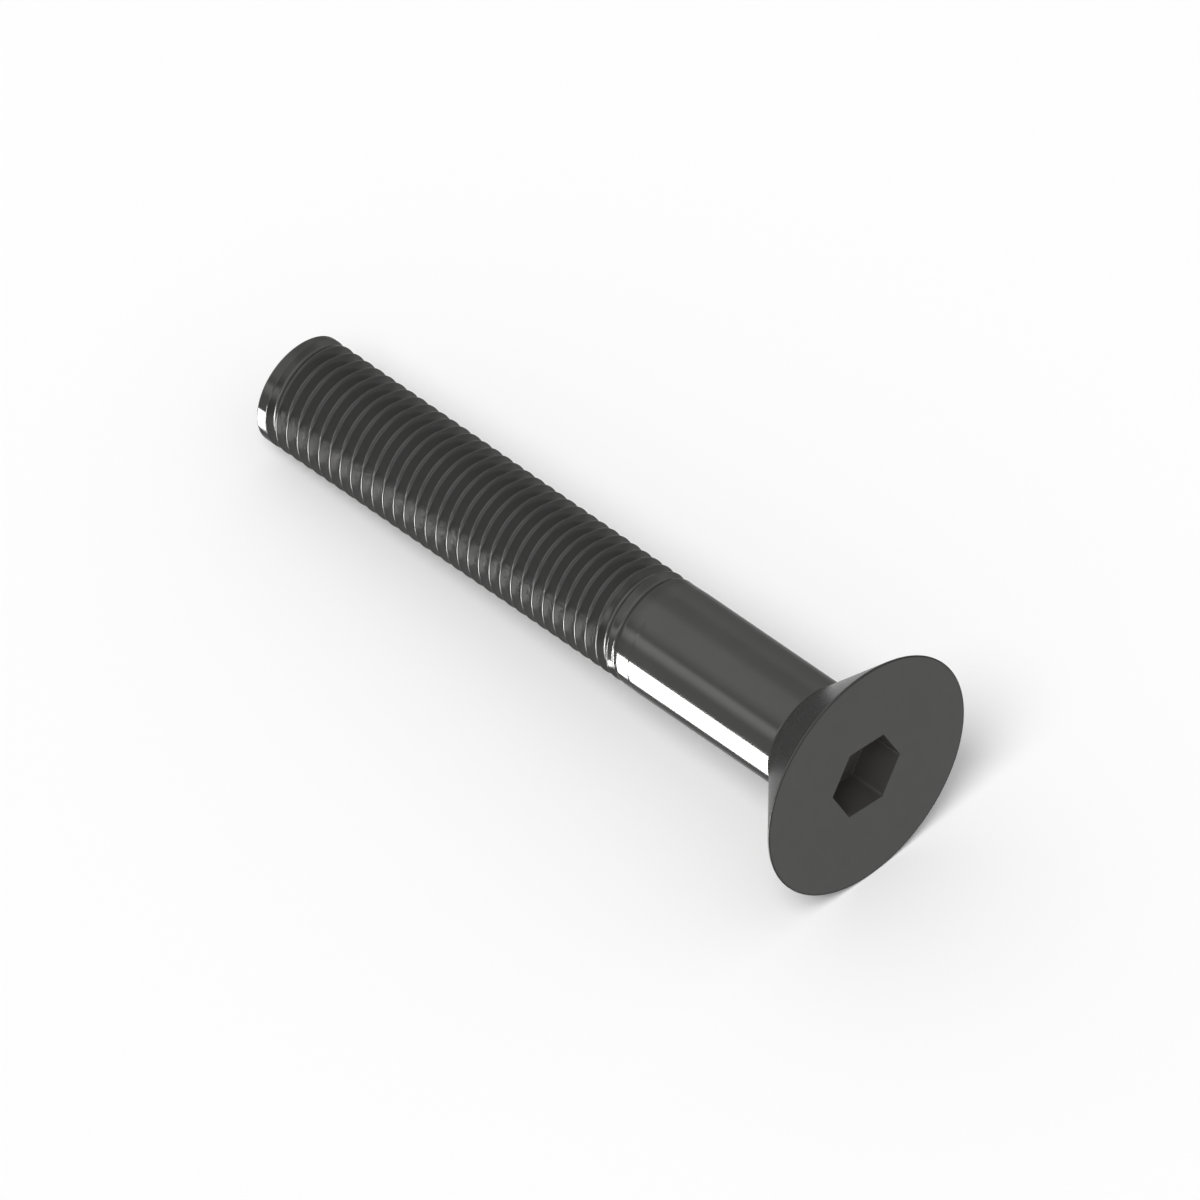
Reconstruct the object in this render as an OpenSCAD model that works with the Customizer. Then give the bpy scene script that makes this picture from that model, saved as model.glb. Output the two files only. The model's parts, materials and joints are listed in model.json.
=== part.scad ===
// Countersunk socket screw with a metric fine thread, forged and rolled from one steel blank.
// It lies on its side as it comes to rest, on the rim of its head and the first crest at its tip.
// Millimetres, +Z up. The head points along +X, and the origin is on the floor below the middle.

/* [Length] */
// Whole length, from the tip to the flat face of the head
screw_len = 40; // [32:1:80]
// Length of the full thread, from the tip
thread_len = 24; // [12:1:30]
// Length over which the grooves run out into the shank
runout_len = 2; // [1:0.25:3]

/* [Head] */
// Diameter of the head at its flat face
head_d = 13.44; // [11:0.02:16]
// Angle between the two sides of the countersunk cone
head_angle = 90; // [80:1:100]
// Height of the narrow straight band around the rim
rim_h = 0.1; // [0.05:0.05:0.5]

/* [Hexagon socket] */
// Width of the hexagon across its flats
hex_af = 4; // [3:0.1:5]
// Depth of the hexagon, from the flat face to its floor
hex_depth = 2.2; // [1:0.1:3]
// Turn of the whole screw about its own axis, which sets where the hexagon's corners point
roll_deg = 24; // [0:1:59]

/* [Shank and thread] */
// Diameter of the plain shank
shank_d = 6; // [5:0.1:7]
// How much less the thread measures across its crests than the shank
crest_less = 0.03; // [0.02:0.01:0.2]
// Distance from one turn of the thread to the next
thread_pitch = 0.75; // [0.6:0.05:1.25]
// Angle between the two flanks of a groove
flank_angle = 60; // [50:1:62]
// Slope cut around the edge of the tip, measured along the axis
tip_bevel = 0.15; // [0.05:0.05:0.5]
// Straight edges that make up one turn of the thread
thread_sides = 24; // [16:4:32]

/* [Hidden] */

// A circle is drawn smooth, and the hexagon is a true one
$fn = 96;
hex_sides = 6;

// Head and shank
shank_r = shank_d / 2;
head_r = head_d / 2;
cone_h = (head_r - shank_r) / tan(head_angle / 2);
neck_z = screw_len - rim_h - cone_h;
cut_over = 1;

// Thread form, as shares of the pitch: a flat crest, two flanks and a flat root
crest_share = 1 / 8;
groove_share = 0.6134;
crest_r = shank_r - crest_less / 2;
groove_depth = groove_share * thread_pitch;
flank_w = groove_depth * tan(flank_angle / 2);
root_w = thread_pitch * (1 - crest_share) - 2 * flank_w;

// The helix starts just behind the bevelled tip, and deepens over its first turn
lead_gap = 0.1;
start_z = tip_bevel + lead_gap;
runout_z = thread_len + runout_len;
steps = floor(thread_sides * (runout_z - start_z) / thread_pitch) - thread_sides;
lead_steps = thread_sides;
runout_steps = ceil(thread_sides * runout_len / thread_pitch);

// The threaded end reaches this far inside the shank, so that the two are one solid
inside_shank = 1;
shank_z = runout_z + thread_pitch / 4;

// How the screw lies: its axis rises from the tip to the head by the angle of the line that
// touches the tip's crest and the rim
rest_tilt = atan((head_r - crest_r) / (screw_len - rim_h - tip_bevel));
rest_lift = crest_r * cos(rest_tilt) - tip_bevel * sin(rest_tilt);
head_reach = screw_len * cos(rest_tilt) + head_r * sin(rest_tilt);
tip_reach = (crest_r - tip_bevel) * sin(rest_tilt);
rest_shift = (tip_reach - head_reach) / 2;

// Share of the full depth that the groove has at one step of the helix
function depth_at(i) = max(0, min(1, i / lead_steps, (steps - i) / runout_steps));

// A point on the helix: a step along it, a radius and a distance along the axis from the helix
function helix_point(i, r, along) =
    let (a = 360 * i / thread_sides)
    [r * cos(a), r * sin(a), start_z + thread_pitch * i / thread_sides + along];

// The four corners of the groove at one step: crest, root, root and crest
function groove_points(i) =
    let (root_r = crest_r - groove_depth * depth_at(i))
    [
        helix_point(i, crest_r, 0),
        helix_point(i, root_r, flank_w),
        helix_point(i, root_r, flank_w + root_w),
        helix_point(i, crest_r, 2 * flank_w + root_w)
    ];

// A ring of points around the axis, counted from the same angle as the given step
function ring_points(r, z, first) =
    [for (j = [0:thread_sides - 1])
        let (a = 360 * (first + j) / thread_sides)
        [r * cos(a), r * sin(a), z]];

// Two triangles between a lower edge a, b and an upper edge d, c, seen from outside
function quad(a, b, c, d) = [[a, c, b], [a, d, c]];

// The bevelled tip, the thread and a plain stretch that reaches inside the shank
module threaded_end() {
    corner_count = 4;
    n = thread_sides;
    top_z = shank_z + inside_shank;

    groove = [for (i = [0:steps]) each groove_points(i)];
    last_turn = [for (i = [steps + 1:steps + n]) helix_point(i, crest_r, 0)];
    tip_ring = ring_points(crest_r - tip_bevel, 0, 0);
    first_ring = ring_points(crest_r, tip_bevel, 0);
    top_ring = ring_points(crest_r, top_z, steps);

    last_turn_at = len(groove);
    tip_at = last_turn_at + n;
    first_at = tip_at + n;
    top_at = first_at + n;

    // Index of corner k at step i: past the fourth corner comes the crest of the next turn
    function at(i, k) =
        k == corner_count ? at(i + n, 0)
        : i > steps ? last_turn_at + i - steps - 1
        : corner_count * i + k;
    function ring(first, j) = first + j % n;

    helix_faces = [
        for (i = [0:steps - 1])
            for (k = [0:corner_count - 1])
                each quad(at(i, k), at(i + 1, k), at(i + 1, k + 1), at(i, k + 1))
    ];
    tip_faces = [
        for (j = [0:n - 1])
            each quad(ring(tip_at, j), ring(tip_at, j + 1), ring(first_at, j + 1), ring(first_at, j))
    ];
    lead_faces = [
        for (j = [0:n - 2])
            each quad(first_at + j, first_at + j + 1, at(j + 1, 0), at(j, 0)),
        [at(n - 1, 0), first_at, first_at + n - 1],
        for (k = [0:corner_count - 1])
            [at(n - 1, 0), at(0, k + 1), at(0, k)],
        [at(n - 1, 0), at(0, 0), first_at]
    ];
    runout_faces = [
        for (j = [1:n - 1])
            each quad(at(steps + j, 0), at(steps + j + 1, 0), ring(top_at, j + 1), top_at + j),
        [at(steps + 1, 0), top_at, top_at + 1],
        [at(steps + 1, 0), at(steps, corner_count), top_at],
        for (k = [0:corner_count - 1])
            [at(steps + 1, 0), at(steps, k), at(steps, k + 1)]
    ];
    end_faces = [
        [for (j = [0:n - 1]) tip_at + j],
        [for (j = [n - 1:-1:0]) top_at + j]
    ];

    polyhedron(
        points = concat(groove, last_turn, tip_ring, first_ring, top_ring),
        faces = concat(helix_faces, tip_faces, lead_faces, runout_faces, end_faces)
    );
}

// The plain shank and the countersunk head, turned about the axis
module shank_and_head() {
    rotate_extrude()
        polygon([
            [0, shank_z],
            [shank_r, shank_z],
            [shank_r, neck_z],
            [head_r, screw_len - rim_h],
            [head_r, screw_len],
            [0, screw_len]
        ]);
}

// The hexagon that is punched into the head, with its first corner on the screw's own X axis
module hex_socket() {
    translate([0, 0, screw_len - hex_depth])
        cylinder(h = hex_depth + cut_over, d = hex_af / cos(180 / hex_sides), $fn = hex_sides);
}

// Lays a screw that was drawn upright, tip down, on the floor with its head along +X
module lie_down() {
    translate([rest_shift, 0, rest_lift])
        rotate([0, 90 - rest_tilt, 0])
            rotate([0, 0, roll_deg])
                children();
}

module screw() {
    color([0.2, 0.2, 0.2])
        lie_down()
            difference() {
                union() {
                    threaded_end();
                    shank_and_head();
                }
                hex_socket();
            }
}

screw();
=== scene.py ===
import json
import math

import bmesh
import bpy
from mathutils import Euler, Matrix, Vector


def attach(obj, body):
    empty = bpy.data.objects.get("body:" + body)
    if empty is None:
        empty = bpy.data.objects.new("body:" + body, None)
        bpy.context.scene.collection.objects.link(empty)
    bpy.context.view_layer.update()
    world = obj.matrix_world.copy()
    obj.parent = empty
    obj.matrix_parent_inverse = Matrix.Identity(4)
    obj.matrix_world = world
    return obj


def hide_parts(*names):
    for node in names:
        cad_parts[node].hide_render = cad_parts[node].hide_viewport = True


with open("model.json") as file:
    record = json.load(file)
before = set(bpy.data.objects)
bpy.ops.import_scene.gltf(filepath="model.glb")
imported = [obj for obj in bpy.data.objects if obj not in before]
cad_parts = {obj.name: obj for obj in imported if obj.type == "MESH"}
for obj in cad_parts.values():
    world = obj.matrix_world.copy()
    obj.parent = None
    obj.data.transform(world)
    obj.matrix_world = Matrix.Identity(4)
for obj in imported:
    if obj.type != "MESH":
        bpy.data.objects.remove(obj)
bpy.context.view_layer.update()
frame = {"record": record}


# Rolled thread
# The screw is one piece of alloy steel, and it is modelled upright in millimetres, tip down.
# Its thread is rolled between two dies: a right-hand groove with rounded crest and root, which
# deepens over its first turn and runs out into the plain shank.
mounts = {mount["name"]: mount for mount in frame["record"]["mounts"]}
crest_r = mounts["thread"]["dims"]["r_mm"]
thread_len = mounts["thread"]["dims"]["length_mm"]
thread_pitch = 0.75
crest_w = thread_pitch / 8
groove_depth = 0.6134 * thread_pitch
half_flank_angle = math.radians(30)
flank_w = groove_depth * math.tan(half_flank_angle)
root_r = crest_r - groove_depth
crest_round = 0.46 * crest_w
root_round = 0.05
tip_bevel = 0.15
tip_cut_z = tip_bevel + 0.05
groove_start_z = tip_bevel + 0.1
lead_turns = 1
runout_len = 2
runout_turns = runout_len / thread_pitch
groove_turns = (thread_len + runout_len - groove_start_z) / thread_pitch - 1
shank_z = thread_len + runout_len + thread_pitch / 4
spare_turns = 2
steps_per_turn = 72
same_place = 1e-4


def round_off(corners, steps):
    """The points of a profile whose corners are a radius, a height and the reach of their round."""
    places = [Vector(corner[:2]) for corner in corners]
    points = [places[0]]
    for before, place, after, corner in zip(places, places[1:], places[2:], corners[1:]):
        reach = corner[2]
        if reach == 0:
            points.append(place)
            continue
        enter = place + (before - place).normalized() * reach
        leave = place + (after - place).normalized() * reach
        for step in range(steps + 1):
            share = step / steps
            points.append(enter.lerp(place, share).lerp(place.lerp(leave, share), share))
    return points + [places[-1]]


def apply_modifier(piece, kind, **settings):
    """Adds a modifier with these settings and applies it."""
    modifier = piece.modifiers.new(kind.lower(), kind)
    for name, value in settings.items():
        setattr(modifier, name, value)
    bpy.ops.object.modifier_apply(modifier=modifier.name)


# One pitch of the profile, from the middle of a crest to the middle of the next one
profile_z = groove_start_z - spare_turns * thread_pitch - crest_w / 2
groove_z = profile_z + crest_w / 2
next_groove_z = groove_z + thread_pitch
profile = round_off(
    (
        (crest_r, profile_z, 0),
        (crest_r, groove_z, crest_round),
        (root_r, groove_z + flank_w, root_round),
        (root_r, next_groove_z - crest_w - flank_w, root_round),
        (crest_r, next_groove_z - crest_w, crest_round),
        (crest_r, profile_z + thread_pitch, 0),
    ),
    steps=3,
)
bpy.ops.object.select_all(action="DESELECT")
bpy.ops.mesh.primitive_plane_add(size=1)
screw = bpy.context.object
screw.name = "finished_screw"
bpy.ops.object.mode_set(mode="EDIT")
bpy.ops.mesh.select_all(action="SELECT")
bpy.ops.mesh.merge(type="CENTER")
bpy.ops.transform.translate(value=(crest_r, 0, profile_z))
for last, point in zip(profile, profile[1:]):
    step = (point.x - last.x, 0, point.y - last.y)
    bpy.ops.mesh.extrude_region_move(TRANSFORM_OT_translate={"value": step})
bpy.ops.object.mode_set(mode="OBJECT")
apply_modifier(
    screw, "SCREW", angle=math.tau, screw_offset=thread_pitch,
    iterations=math.ceil(shank_z / thread_pitch) + 2 * spare_turns,
    steps=steps_per_turn, render_steps=steps_per_turn,
)
bpy.ops.object.mode_set(mode="EDIT")
bpy.ops.mesh.select_all(action="SELECT")
bpy.ops.mesh.remove_doubles(threshold=same_place)
bpy.ops.object.mode_set(mode="OBJECT")

# Where the groove fades, it is cast back onto the cylinder that the crests lie on
fading = screw.vertex_groups.new(name="fading")
for vertex in screw.data.vertices:
    part_turn = math.atan2(vertex.co.y, vertex.co.x) / math.tau
    climb = (vertex.co.z - groove_start_z + crest_w / 2) / thread_pitch - part_turn
    turn = part_turn + math.floor(climb + same_place)
    depth_share = min(1, turn / lead_turns, (groove_turns - turn) / runout_turns)
    if depth_share < 1:
        fading.add([vertex.index], 1 - max(0, depth_share), "REPLACE")
apply_modifier(
    screw, "CAST", cast_type="CYLINDER", factor=1, use_z=False, radius=crest_r,
    use_radius_as_size=True, vertex_group=fading.name,
)
screw.vertex_groups.clear()
bpy.ops.object.mode_set(mode="EDIT")
for cut_z, kept_side in ((tip_cut_z, 1), (shank_z, -1)):
    bpy.ops.mesh.select_all(action="SELECT")
    bpy.ops.mesh.bisect(plane_co=(0, 0, cut_z), plane_no=(0, 0, kept_side), clear_inner=True)


# Tip
# The end of the blank is bevelled before it is rolled, so that the thread starts easily in a nut.
# Its flat end is left as it was sheared and pressed.
tip_r = crest_r - tip_bevel
tip_shoulder_round = 0.03
tip_edge_round = 0.05
tip_outer_ring_r = 0.85 * tip_r
tip_inner_ring_r = 0.3 * tip_r


def lathe(*corners):
    """Extrudes the selected ring of edges, which is at the first corner, along this profile."""
    points = round_off(corners, steps=5)
    for (last_r, last_z), (ring_r, ring_z) in zip(points, points[1:]):
        scale = ring_r / last_r
        bpy.ops.mesh.extrude_region_move()
        bpy.ops.transform.resize(value=(scale, scale, 1), center_override=(0, 0, last_z))
        bpy.ops.transform.translate(value=(0, 0, ring_z - last_z))


def pick_open_edges(lowest, highest):
    """In edit mode, selects the open edges of the mesh between these heights."""
    bpy.ops.mesh.select_mode(type="EDGE")
    bpy.ops.mesh.select_all(action="DESELECT")
    edit_mesh = bmesh.from_edit_mesh(bpy.context.object.data)
    for edge in edit_mesh.edges:
        if edge.is_boundary and lowest <= edge.verts[0].co.z <= highest:
            edge.select_set(True)
    edit_mesh.select_flush_mode()
    bmesh.update_edit_mesh(bpy.context.object.data)


pick_open_edges(0, tip_cut_z + same_place)
lathe(
    (crest_r, tip_cut_z, 0),
    (crest_r, tip_bevel, tip_shoulder_round),
    (tip_r, 0, tip_edge_round),
    (tip_outer_ring_r, 0, 0),
    (tip_inner_ring_r, 0, 0),
)
bpy.ops.mesh.edge_face_add()


# Plain shank and countersunk head
# The head is forged from the same wire in a die: a 90 degree cone with a narrow straight rim.
# The shank keeps the wire's drawn surface.
shank_r = mounts["plain_shank"]["dims"]["r_mm"]
head_r = mounts["countersunk_seat"]["dims"]["r_mm"]
cone_h = mounts["countersunk_seat"]["dims"]["length_mm"]
screw_len = 40
rim_h = 0.1
rim_z = screw_len - rim_h
neck_z = rim_z - cone_h
shank_start_z = shank_z + 0.2
neck_round = 0.1
rim_round = 0.03
head_sides = 144
hex_af = 4
hex_r = hex_af / math.sqrt(3)
inner_face_r = hex_r + 0.5

bpy.ops.mesh.select_all(action="DESELECT")
bpy.ops.mesh.primitive_circle_add(
    vertices=head_sides, radius=shank_r, location=(0, 0, shank_start_z), fill_type="NOTHING"
)
lathe(
    (shank_r, shank_start_z, 0),
    (shank_r, neck_z, neck_round),
    (head_r, rim_z, rim_round),
    (head_r, screw_len, rim_round),
    (inner_face_r, screw_len, 0),
)


# Hexagon socket
# The hexagon is punched into the face while the steel is cold. Its mouth has a slight bevel, and
# its floor a small round where the punch's edge was worn.
hex_sides = 6
hex_depth = mounts["hex_socket"]["dims"]["length_mm"]
hex_floor_z = screw_len - hex_depth
mouth_bevel = 0.03
hex_floor_round = 0.05
hex_floor_ring_r = 0.6 * hex_r
sharp_edge = math.radians(32)
bpy.ops.mesh.select_all(action="DESELECT")
bpy.ops.mesh.primitive_circle_add(
    vertices=hex_sides, radius=hex_r + mouth_bevel, location=(0, 0, screw_len),
    rotation=(0, 0, math.pi / hex_sides), fill_type="NOTHING",
)
bpy.ops.mesh.subdivide(number_cuts=head_sides // hex_sides - 1)
lathe(
    (hex_r + mouth_bevel, screw_len, 0),
    (hex_r, screw_len - mouth_bevel, 0),
    (hex_r, hex_floor_z, hex_floor_round),
    (hex_floor_ring_r, hex_floor_z, 0),
)
bpy.ops.mesh.edge_face_add()

# The face is closed around the hexagon, and the shank is joined to the thread
pick_open_edges(screw_len - same_place, screw_len + same_place)
bpy.ops.mesh.bridge_edge_loops()
pick_open_edges(shank_z - same_place, shank_start_z + same_place)
bpy.ops.mesh.bridge_edge_loops()
bpy.ops.mesh.select_mode(type="VERT")
bpy.ops.mesh.select_all(action="SELECT")
bpy.ops.mesh.remove_doubles(threshold=same_place)
bpy.ops.mesh.normals_make_consistent(inside=False)
bpy.ops.object.mode_set(mode="OBJECT")
bpy.ops.object.shade_smooth_by_angle(angle=sharp_edge)
apply_modifier(screw, "WEIGHTED_NORMAL", keep_sharp=True)


# How the screw lies
# It rests on the rim of its head and on the first crest at its tip, where the frame has it. The
# hexagon's corners point where the photo shows them.
face_centre = Vector(mounts["hex_socket"]["pos_m"])
screw_axis = Vector(mounts["hex_socket"]["axis"]).normalized()
mm = 0.001
roll = math.radians(24)
lean = Euler((0, math.atan2(screw_axis.x, screw_axis.z), 0))
tip_centre = face_centre - screw_axis * screw_len * mm
screw.matrix_world = (
    Matrix.Translation(tip_centre)
    @ lean.to_matrix().to_4x4()
    @ Matrix.Rotation(roll, 4, "Z")
    @ Matrix.Scale(mm, 4)
)
bpy.ops.object.select_all(action="DESELECT")
screw.select_set(True)
bpy.ops.object.transform_apply(location=True, rotation=True, scale=True)
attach(screw, "root")
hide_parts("screw")


# Black oxide
# The steel is blackened in a hot bath that leaves a thin, slightly oiled skin of oxide. The skin
# is a little uneven. Its colour also holds painted light: painted shade darkens the crests, the
# rim and the face's edge to dim their highlights, and the duller grooves are painted lighter
# against their shade. The cone is duller. The hexagon's brownish oxide is painted paler against
# the socket's shade, lighter still towards its floor, with painted highlights on its corners.
oxide = (0.0905, 0.0905, 0.089, 1)
# The hexagon's oxide is brownish, and painted paler than the rest against the socket's shade
socket_oxide_painted_pale = (0.104, 0.099, 0.095, 1)
grazing_tint = (0.52, 0.52, 0.52, 1)
metallic_share = 0.55
relief_height = 0.00002
relief_strength = 0.05


class Signal:
    """A shader socket. Sums written with it, such as 1 - mask, add their Math nodes."""

    def __init__(self, socket):
        self.socket = socket

    def node(self, kind, inputs, output=0, **settings):
        """Adds a node with its settings, then the values or links of its sockets."""
        tree = self.socket.id_data
        made = tree.nodes.new(kind)
        for name, value in settings.items():
            setattr(made, name, value)
        for place, value in inputs.items():
            if isinstance(value, Signal):
                tree.links.new(value.socket, made.inputs[place])
            else:
                made.inputs[place].default_value = value
        return Signal(made.outputs[output])

    def maths(self, operation, *values):
        """Adds a Math node on these values."""
        return self.node("ShaderNodeMath", dict(enumerate(values)), operation=operation)

    def __add__(self, other):
        return self.maths("ADD", self, other)

    def __sub__(self, other):
        return self.maths("SUBTRACT", self, other)

    def __rsub__(self, other):
        return self.maths("SUBTRACT", other, self)

    def __mul__(self, other):
        return self.maths("MULTIPLY", self, other)

    __radd__ = __add__
    __rmul__ = __mul__

    def between(self, low, high):
        """0 below low, 1 above high and a soft step in between."""
        return self.node(
            "ShaderNodeMapRange", {"Value": self, "From Min": low, "From Max": high},
            interpolation_type="SMOOTHSTEP",
        )

    def noise(self, scale, stretch=(1, 1, 1), detail=3):
        """Noise from -1 to 1 on these coordinates, with this many bumps in a unit."""
        scaled = self.node(
            "ShaderNodeVectorMath", {0: self, 1: [scale * share for share in stretch]},
            operation="MULTIPLY",
        )
        bumps = self.node("ShaderNodeTexNoise", {"Vector": scaled, "Scale": 1, "Detail": detail})
        return bumps * 2 - 1


# The screw's own coordinates, in millimetres from the middle of its tip
steel = bpy.data.materials.new("black_steel")
steel.use_nodes = True
shader = steel.node_tree.nodes["Principled BSDF"]
own = Signal(steel.node_tree.nodes.new("ShaderNodeTexCoord").outputs["Object"])
own = own.node(
    "ShaderNodeMapping",
    {"Vector": own, "Location": tip_centre, "Rotation": lean, "Scale": (mm, mm, mm)},
    vector_type="TEXTURE",
)
from_axis = own.node("ShaderNodeVectorMath", {0: own, 1: (1, 1, 0)}, operation="MULTIPLY")
radius = own.node("ShaderNodeVectorMath", {0: from_axis}, output="Value", operation="LENGTH")
height = own.node("ShaderNodeSeparateXYZ", {0: own}, output="Z")

# Each part of the screw as a mask
on_tip = 1 - height.between(0.01, 0.05)
in_thread = 1 - height.between(thread_len + 1.4, thread_len + runout_len)
# Painted light: the grooves are painted lighter against the shade in them, and are rougher
in_groove = in_thread * (1 - on_tip) * (1 - radius.between(root_r + 0.075, crest_r - 0.035))
# Painted shade: the crests are painted darker to dim their highlight
on_crest = in_thread * radius.between(crest_r - 0.04, crest_r)
on_head = radius.between(shank_r + 0.1, shank_r + 0.2)
on_cone = on_head * (1 - height.between(rim_z - 0.05, rim_z + 0.05))
# Painted shade: the rim and the face's edge are painted darker to dim their highlight
on_rim = radius.between(head_r - 0.09, head_r - 0.03)
on_face_edge = on_rim * height.between(screw_len - 0.06, screw_len - 0.02)
below_mouth = 1 - height.between(screw_len - 0.1, screw_len - 0.02)
above_floor = height.between(hex_floor_z - 0.4, hex_floor_z - 0.2)
in_socket = above_floor * below_mouth * (1 - radius.between(hex_r + 0.02, hex_r + 0.06))
# Painted light: the socket is painted lighter towards its floor, against the shade in it
deep_in_socket = in_socket * (1 - height.between(hex_floor_z - 0.3, screw_len))
# Painted highlight on the hexagon's corners
on_hex_corner = in_socket * radius.between(hex_r - 0.06, hex_r - 0.02)

# The skin's unevenness, the shank's lines along its length and the head's turned rings
mottle = own.noise(0.9, detail=4)
cloud = own.noise(0.25)
grain = own.noise(14)
drawn = own.noise(9, stretch=(1, 1, 0.02))
turned = own.node("ShaderNodeCombineXYZ", {"X": radius, "Z": height}).noise(7)

colour = own.node(
    "ShaderNodeMix", {0: in_socket, 6: oxide, 7: socket_oxide_painted_pale}, output=2, data_type="RGBA"
)
# The tone holds the skin's random unevenness and painted light: lighter grooves and socket depth,
# darker crests, rim and face edge, and highlights on the hexagon's corners
tone = (
    1 + 0.05 * mottle + 0.04 * cloud + 0.02 * grain
    + 0.2 * in_groove - 0.15 * on_crest - 0.1 * on_rim - 0.4 * on_face_edge
    + 0.9 * deep_in_socket + 0.5 * on_hex_corner
)
colour = own.node("ShaderNodeVectorMath", {0: colour, "Scale": tone}, operation="SCALE")
roughness = (
    0.11 + 0.02 * mottle + 0.01 * grain + 0.15 * in_groove + 0.15 * in_socket
    + 0.16 * on_cone + 0.3 * on_rim + 0.04 * on_tip
)
relief = (
    0.2 * grain + 0.3 * mottle + 0.4 * drawn * (1 - on_head) + 0.2 * turned * on_head
) * (1 - 0.7 * on_cone)
bump = own.node(
    "ShaderNodeBump",
    {"Height": relief, "Strength": relief_strength, "Distance": relief_height},
)
# Less metal on the face's edge is part of the painted shade there
metallic = metallic_share - 0.45 * on_face_edge
for signal, socket in (
    (colour, "Base Color"), (metallic, "Metallic"), (roughness, "Roughness"), (bump, "Normal")
):
    steel.node_tree.links.new(signal.socket, shader.inputs[socket])
shader.inputs["Specular IOR Level"].default_value = 0
shader.inputs["Specular Tint"].default_value = grazing_tint
screw.data.materials.clear()
screw.data.materials.append(steel)


# Floor
# A plain white table. What the steel mirrors passes through it, as through a light table's glass,
# and it keeps the screw's shadow.
floor_size = 6
floor_white = (0.97, 0.97, 0.97, 1)
bpy.ops.object.select_all(action="DESELECT")
bpy.ops.mesh.primitive_plane_add(size=floor_size)
floor = bpy.context.object
floor.name = "floor"
table = bpy.data.materials.new("pale_floor")
table.use_nodes = True
paint = table.node_tree.nodes["Principled BSDF"]
paint.inputs["Base Color"].default_value = floor_white
paint.inputs["Roughness"].default_value = 1
paint.inputs["Specular IOR Level"].default_value = 0
ray = table.node_tree.nodes.new("ShaderNodeLightPath").outputs
mirrored = Signal(ray["Is Glossy Ray"])
through = mirrored.maths("MAXIMUM", mirrored, Signal(ray["Is Shadow Ray"]))
surface = through.node(
    "ShaderNodeMixShader",
    {0: through, 1: Signal(paint.outputs[0]), 2: through.node("ShaderNodeBsdfTransparent", {})},
)
table.node_tree.links.new(
    surface.socket, table.node_tree.nodes["Material Output"].inputs["Surface"]
)
floor.data.materials.append(table)


# Studio light
# A white room with one large soft lamp above. The steel alone mirrors the bands of the walls and
# three strip lights: one below the table draws the streak along the shank, one beside it lights
# the flanks of the thread, and a weak one in front lights their edges.
room_level = 0.55
room = bpy.data.worlds.new("studio")
room.use_nodes = True
bpy.context.scene.world = room
backdrop = room.node_tree.nodes["Background"]
backdrop.inputs["Color"].default_value = (1, 1, 1, 1)
ray = room.node_tree.nodes.new("ShaderNodeLightPath").outputs
direction = Signal(room.node_tree.nodes.new("ShaderNodeTexCoord").outputs["Object"])
forward, side, rise = (
    direction.node("ShaderNodeSeparateXYZ", {0: direction}, output=name) for name in "XYZ"
)

# The level that the steel mirrors in each direction: white, and the walls' bands around it
near_side = 1 - side.between(-0.4, 0.2)
bright_band = rise.between(0.02, 0.3) * (1 - rise.between(0.34, 0.47))
dark_band = 1 - rise.between(0.47, 0.7)
near_wall = near_side * (1.35 * bright_band - 0.6 * dark_band)
above_table = rise.between(-0.45, -0.2)
dim_walls = above_table * (0.15 * side.between(0, 0.5) + 0.5 * forward.between(0, 0.6))
dim_corner = 0.28 * side.between(0.05, 0.35) * rise.between(0.35, 0.6)
low_behind = (1 - forward.between(-0.62, -0.48)) * (1 - rise.between(-0.45, -0.3))
pale_corner = low_behind * side.between(0.15, 0.5)
mirrored_level = 1 + near_wall - dim_walls - dim_corner + pale_corner
strength = (
    room_level + (1 - room_level) * Signal(ray["Is Camera Ray"])
    + (mirrored_level - room_level) * Signal(ray["Is Glossy Ray"])
)
room.node_tree.links.new(strength.socket, backdrop.inputs["Strength"])


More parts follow.
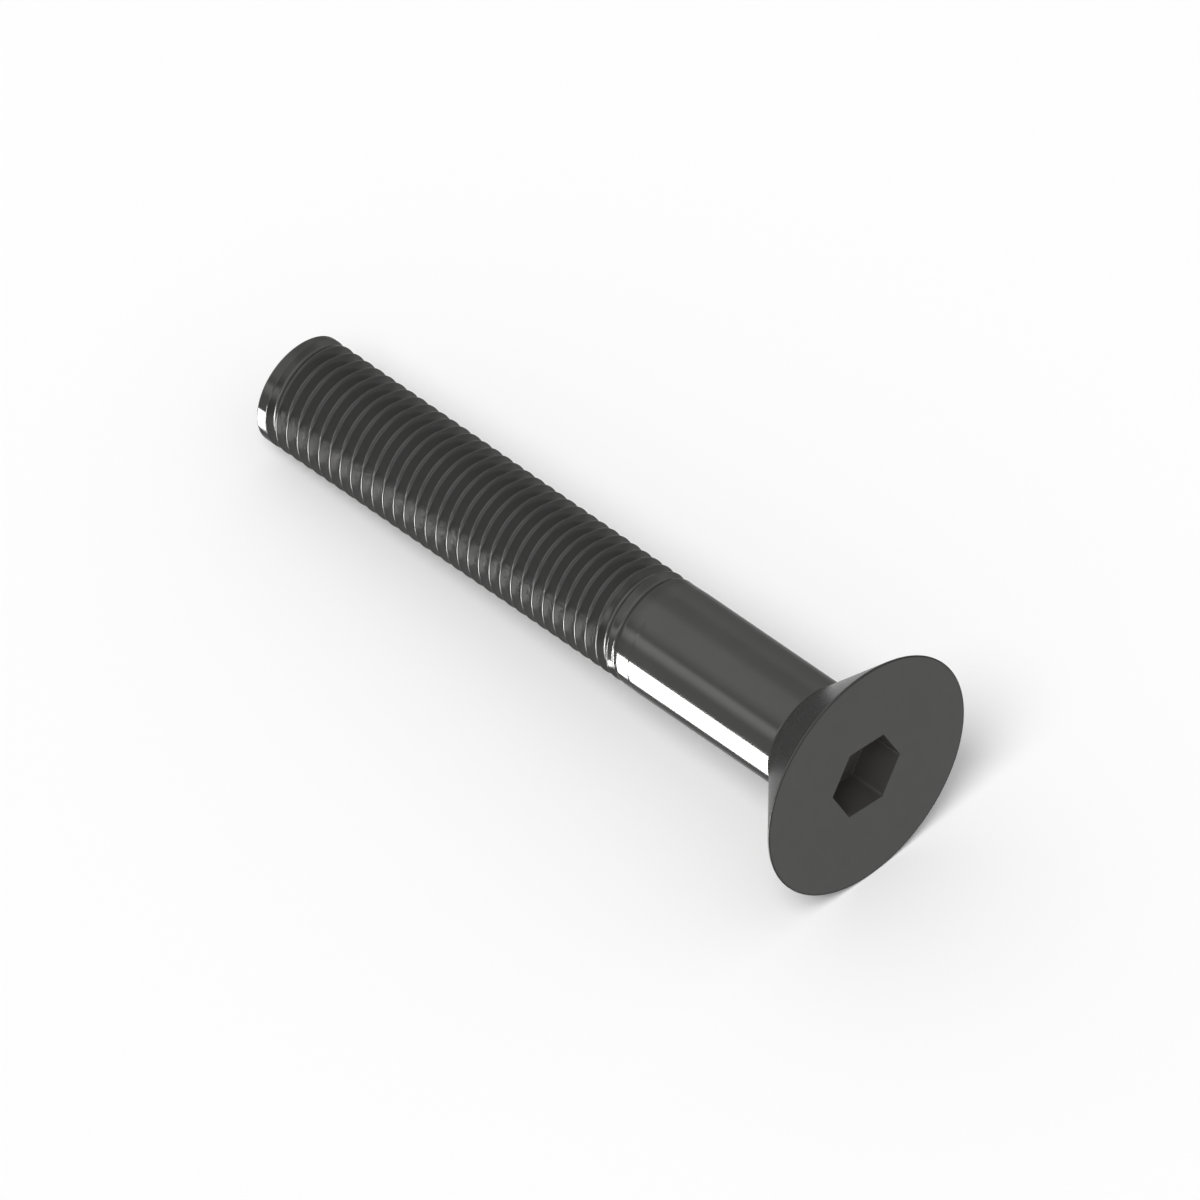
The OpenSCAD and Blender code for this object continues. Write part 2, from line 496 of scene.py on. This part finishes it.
def strip_light(name, ends, wide, fades_at, radiance):
    """A strip light a metre away that only the steel mirrors.

    Its ends are compass directions and heights in degrees, as the screw sees them. Its width and
    the angle from its middle at which its light has faded away are in degrees too.
    """
    first, last = (
        Euler((0, -math.radians(end_rise), math.radians(compass))).to_matrix() @ Vector((1, 0, 0))
        for compass, end_rise in ends
    )
    middle = (first + last) / 2
    along = (last - first).normalized()
    away = middle.normalized()
    fade = math.radians(fades_at)
    lamp = bpy.data.lights.new(name, "AREA")
    lamp.shape = "RECTANGLE"
    lamp.size = 2 * math.tan(math.radians(wide / 2)) * middle.length
    lamp.size_y = (last - first).length
    lamp.spread = 2 * fade
    # A narrow spread gathers the energy in the middle, and the last factor makes up for that
    area = lamp.size * lamp.size_y
    lamp.energy = radiance * math.pi * area * (1 - fade / math.tan(fade))
    strip = bpy.data.objects.new(name, lamp)
    strip.matrix_world = Matrix((along.cross(away), along, away)).transposed().to_4x4()
    strip.location = middle
    strip.visible_camera = False
    strip.visible_diffuse = False
    bpy.context.scene.collection.objects.link(strip)


strip_light("shank_strip", ((-122.8, -22.5), (-145.5, -60)), wide=6, fades_at=85, radiance=40)
strip_light("thread_strip", ((-107.5, -3), (-86, -57)), wide=10, fades_at=36, radiance=66)
strip_light("front_box", ((-17, -14), (-18, -36)), wide=30, fades_at=85, radiance=1.6)

key = bpy.data.objects.new("key", bpy.data.lights.new("key", "SUN"))
key.data.energy = 1.75
key.data.angle = math.radians(30)
key.rotation_euler = (math.radians(32), 0, math.radians(20))
key.visible_glossy = False
bpy.context.scene.collection.objects.link(key)


# Camera
# The photo is a straight-on picture with no perspective. The place of the face's centre in it and
# its scale set where the camera looks.
picture_px = 1200
px_per_mm = 20.31
face_px = (866.6, 775.9)
camera_turn = math.radians(45.366)
camera_rise = math.radians(49.507)
camera_distance = 0.5
camera = bpy.data.objects.new("camera", bpy.data.cameras.new("camera"))
bpy.context.scene.collection.objects.link(camera)
camera.data.type = "ORTHO"
camera.data.ortho_scale = picture_px / px_per_mm * mm
camera.rotation_euler = (math.pi / 2 - camera_rise, 0, camera_turn)
right, up, back = camera.rotation_euler.to_matrix().transposed()
across = (face_px[0] - picture_px / 2) / px_per_mm * mm
below = (face_px[1] - picture_px / 2) / px_per_mm * mm
camera.location = face_centre - right * across + up * below + back * camera_distance
bpy.context.scene.camera = camera
bpy.context.scene.view_settings.view_transform = "Standard"
